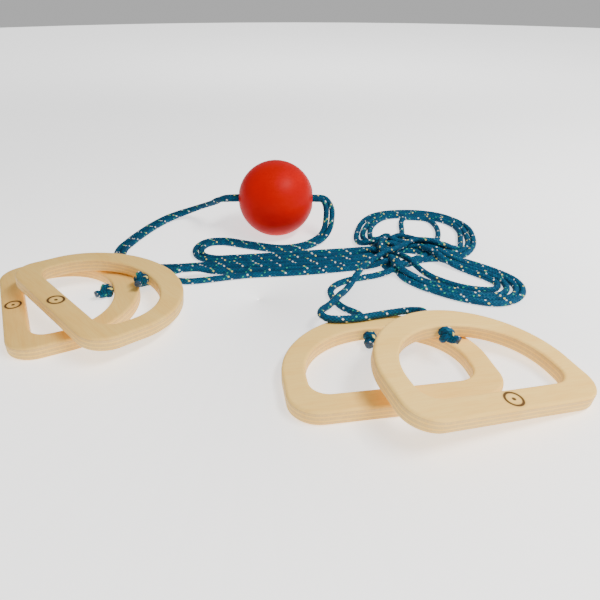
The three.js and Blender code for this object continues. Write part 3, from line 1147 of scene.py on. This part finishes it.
@dataclass
class Cord:
    """One of the two cords, from the stopper knot in its left handle to the one in its right handle."""

    letter: str
    left: Handle
    right: Handle
    side: float
    out_level: tuple[float, float]
    back_level: tuple[float, float]
    return_loop: str
    onward_loop: str
    braid: Braid = field(default_factory=Braid)
    bed: float = 0.0026
    spacing: float = 0.0028
    straight: tuple[float, float] = (0.0023, 0.0050)

    @property
    def left_knot(self) -> Knot:
        """The stopper knot in the left handle."""
        return Knot(self.left)

    @property
    def right_knot(self) -> Knot:
        """The stopper knot in the right handle."""
        return Knot(self.right)

    def bend_end(self, handle: Handle) -> Array:
        """The second place of the cord's route outside a handle, where its bend piece ends."""
        return np.array(OUTSIDE_ROUTES[handle.name][1]) + handle.shift

    def exits(self, handle: Handle) -> Array:
        """The first places outside a handle's bore, straight on from it, in the layout."""
        return np.array([handle.mouth(out) - handle.shift for out in self.straight])

    def route(self) -> Array:
        """The cord outside its handles' bores, in the layout: places, free share and rise."""
        left = pinned(np.vstack([self.exits(self.left), OUTSIDE_ROUTES[self.left.name]]))
        right = pinned(np.vstack([self.exits(self.right), OUTSIDE_ROUTES[self.right.name]]))
        pair = pinned(beside(np.array(PAIR_ROUTE), self.side * self.spacing))
        strands = BUNDLE_STRANDS[self.letter]
        out, inward, onward = (pinned([(x, y, self.bed) for x, y in strand]) for strand in strands)
        heap_return = Loop(LOOP_ROUTES[self.return_loop], *self.out_level, self.bed)
        heap_onward = Loop(LOOP_ROUTES[self.onward_loop], *self.back_level, self.bed)
        return np.vstack([
            left, out, heap_return.points()[:-1], inward[::-1], pair, onward,
            heap_onward.points(), right[::-1],
        ])


@dataclass
class CordPair:
    """Both cords, settled together, cut into their moving pieces and dressed."""

    handles: dict[HandleName, Handle]
    shift: Array
    bead_step: float = 0.0021
    free_from: float = 0.02

    def cords(self) -> list[Cord]:
        """Cord a, from the upper left handle to the lower right one, and cord b, the other way."""
        return [
            Cord("a", self.handles[HandleName.LEFT_UPPER], self.handles[HandleName.RIGHT_LOWER],
                 1.0, (0.003, 0.008), (0.022, 0.040), "UPPER_RETURN", "TO_RIGHT_LOWER"),
            Cord("b", self.handles[HandleName.LEFT_LOWER], self.handles[HandleName.RIGHT_UPPER],
                 -1.0, (0.012, 0.018), (0.046, 0.090), "LOWER_RETURN", "TO_RIGHT_UPPER"),
        ]

    def settled(self, cords: list[Cord]) -> list[Array]:
        """The route of each cord once the heap has come to rest, in the row frame.

        Args:
            cords: the two cords.

        Returns:
            Each cord's stations from mouth to mouth.
        """
        lines = []
        for cord in cords:
            route = cord.route()
            route[:, :3] += self.shift
            lines.append(smooth_line(route, self.bead_step))
        beads = np.vstack(lines)
        free = beads[:, 3] > self.free_from
        places = beads[:, :3] + free[:, None] * beads[:, 4:5] * (0.0, 0.0, 1.0)
        heap = Heap(2 * cords[0].braid.radius, places, free, [len(lines[0])])
        return np.split(heap.settle(), [len(lines[0])])

    def whole(self, cord: Cord, outside: Array) -> Array:
        """The cord's line from cut end to cut end, at the braid's own ring spacing."""
        left = cord.left.laid(cord.left_knot.line())
        right = cord.right.laid(cord.right_knot.line())
        return smooth_line(np.vstack([left, outside, right[::-1]]), cord.braid.ring_step)

    def dress(self) -> list[Any]:
        """Settles, builds and dresses both cords.

        Returns:
            Every piece of both cords.
        """
        cords = self.cords()
        made = []
        finish = BraidFinish(cords[0].braid.strands, cords[0].braid.lay).material("braid")
        melt = PlainFinish((0.012, 0.06, 0.12), (0.006, 0.02, 0.05), 0.35, 900.0).material("melted_end")
        for cord, outside in zip(cords, self.settled(cords)):
            line = self.whole(cord, outside)
            made += CordPieces(cord, line, finish, melt).dress()
        return made


def nearest(line: Array, place: Array) -> int:
    """The number of the line's station that is nearest to a place."""
    return int(np.linalg.norm(line - place, axis=1).argmin())


@dataclass
class CordPieces:
    """One cord's line cut into pieces near its handles: knots, bends and the long run."""

    cord: Cord
    line: Array
    finish: Any
    melt: Any
    tip_half: float = 0.0011
    tip_radius: float = 0.00262
    tip_power: float = 2 / 3
    tip_hole: float = 0.02
    tip_steps: int = 26
    tip_sides: int = 28

    def cuts(self) -> list[int]:
        """The numbers of the stations where the cord passes from one piece to the next."""
        cord, line = self.cord, self.line
        middle = len(line) // 2
        left_end = nearest(line[:middle], cord.left.mouth(cord.left_knot.proud))
        left_bend = nearest(line[:middle], cord.bend_end(cord.left))
        right_bend = middle + nearest(line[middle:], cord.bend_end(cord.right))
        right_end = middle + nearest(line[middle:], cord.right.mouth(cord.right_knot.proud))
        return [0, left_end, left_bend, right_bend, right_end, len(line) - 1]

    def dress(self) -> list[Any]:
        """Builds the five pieces and the two melted ends, and sets what the knots, ends and long run move
        with.

        Returns:
            The pieces.
        """
        cord, line = self.cord, self.line
        side, up = rolling_frames(line)
        along = lengths(line)
        cuts = self.cuts()
        left, right = cord.left.name.value, cord.right.name.value
        names = [f"knot_and_end_{left}", f"bend_{left}", f"cord_{cord.letter}", f"bend_{right}",
                 f"knot_and_end_{right}"]
        pieces = []
        for name, start, stop in zip(names, cuts[:-1], cuts[1:]):
            part = slice(start, stop + 1)
            grid, uv = cord.braid.surface(line[part], along[part], side[part], up[part])
            piece = grid_object(name, grid, False, uv)
            piece.data.materials.append(self.finish)
            pieces.append(piece)
        tips = [self.tip(left, line[0], line[1] - line[0]),
                self.tip(right, line[-1], line[-2] - line[-1])]
        for end, bend, tip, handle in ((pieces[0], pieces[1], tips[0], cord.left),
                                       (pieces[4], pieces[3], tips[1], cord.right)):
            name = handle.name.value
            body = f"{name}_handle"
            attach(end, body)
            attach(tip, body)
            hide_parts(f"knot_{name}", f"cord_end_{name}")
            cord.bend_end(handle)
            handle.mouth(0.0026)
            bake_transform(bend)
            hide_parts(f"cord_flex_{name}")
        run = pieces[2]
        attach(run, "cords")
        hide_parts(f"cord_run_{left}", f"cord_run_{right}", f"cord_{cord.letter}_ball_run",
                    *(["cord_bundle"] if cord.letter == "a" else ["cord_coil_front", "cord_coil_back"]))
        cord.bend_end(cord.left)
        LOG.info("cord %s: %.2f m in all", cord.letter, along[-1])
        return pieces + tips

    def tip(self, name: str, place: Array, inward: Array) -> Any:
        """The melted end of a cord: a flat-topped bead that closes the braid.

        The profile is half of |x / a| ** 3 + |rho / b| ** 3 = 1, turned about the cord's line.

        Args:
            name: its handle's name.
            place: the middle of the cut.
            inward: the way back into the cord.

        Returns:
            The bead's object.
        """
        t = np.linspace(self.tip_hole, math.pi - self.tip_hole, self.tip_steps)
        profile = np.stack([self.tip_half * np.sign(np.cos(t)) * np.abs(np.cos(t)) ** self.tip_power,
                            self.tip_radius * np.sin(t) ** self.tip_power], axis=-1)
        axis = unit(inward)
        side = unit(np.cross(axis, (0.0, 0.0, 1.0)))
        turned = revolved(profile, self.tip_sides).transpose(1, 0, 2)
        basis = np.stack([axis, side, np.cross(axis, side)])
        bead = grid_object(f"cut_end_{name}", turned @ basis + place, False)
        bead.data.materials.append(self.melt)
        return bead


# ---------------------------------------------------------------- stage
@dataclass
class Studio:
    """The pale table, the soft lights and the camera."""

    target: Array
    elevation: float = 30.0
    distance: float = 0.431
    lens: float = 33.66

    def camera(self) -> None:
        """Sets the camera, looking along +Y and down on the middle of the layout."""
        data = bpy.data.cameras.new("camera")
        data.lens = self.lens
        data.sensor_width = 36.0
        data.clip_start = 0.01
        camera = link("camera", data)
        rise = math.radians(self.elevation)
        back = np.array([0.0, -math.cos(rise), math.sin(rise)])
        camera.location = self.target + back * self.distance
        camera.rotation_euler = (math.radians(90.0 - self.elevation), 0.0, 0.0)
        bpy.context.scene.camera = camera

    def table(self) -> None:
        """Builds the table: a wide round sheet, 30 mm thick, with its upper rim broken."""
        radius = np.array([0.001, 0.5, 1.0, 2.0, 2.98, 3.0, 3.0, 2.9, 0.001])
        height = np.array([0.0, 0.0, 0.0, 0.0, 0.0, -0.004, -0.03, -0.03, -0.03])
        profile = np.stack([height, radius], axis=-1)
        grid = revolved(profile, 64)
        table = grid_object("table", np.stack([grid[..., 1], grid[..., 2], grid[..., 0]], axis=-1), True)
        finish = PlainFinish((0.90, 0.90, 0.90), (0.885, 0.885, 0.885), 0.75, 3.0, 1.35)
        table.data.materials.append(finish.material("pale_table"))

    def light(self, name: str, place: tuple, size: float, power: float, colour: tuple) -> None:
        """Adds one square soft light that faces the layout."""
        data = bpy.data.lights.new(name, "AREA")
        data.shape = "SQUARE"
        data.size = size
        data.energy = power
        data.color = colour
        lamp = link(name, data)
        lamp.location = place
        way = unit(self.target - np.array(place))
        lamp.rotation_euler = (math.acos(-way[2]), 0.0, math.atan2(way[0], -way[1]))

    def dress(self) -> None:
        """Sets the stage."""
        self.camera()
        self.table()
        self.light("key", (0.75, -0.35, 1.15), 0.7, 62.0, (1.0, 0.985, 0.96))
        self.light("fill", (-1.0, -0.5, 0.9), 1.2, 20.0, (0.95, 0.975, 1.0))
        self.light("back", (0.1, 1.2, 0.8), 1.0, 7.0, (1.0, 1.0, 1.0))
        world = bpy.data.worlds.new("studio")
        world.use_nodes = True
        world.node_tree.nodes["Background"].inputs["Color"].default_value = (1.0, 1.0, 1.0, 1.0)
        world.node_tree.nodes["Background"].inputs["Strength"].default_value = 0.5
        bpy.context.scene.world = world


def main() -> None:
    """Builds the object piece by piece."""
    logging.basicConfig(level=logging.INFO, format="%(name)s: %(message)s")
    low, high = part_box("ball")
    ball_centre = (np.array(low) + np.array(high)) / 2
    shift = ball_centre - BALL_IN_LAYOUT
    Studio(np.array([*shift[:2], 0.0])).dress()
    handles = {name: Handle(name, shift) for name in HandleName}
    for piece in CordPair(handles, shift).dress():
        LOG.info("made %s", piece.name)
    for handle in handles.values():
        LOG.info("made %s", handle.dress().name)
    LOG.info("made %s", Ball(ball_centre).dress().name)


if __name__ == "__main__":
    main()
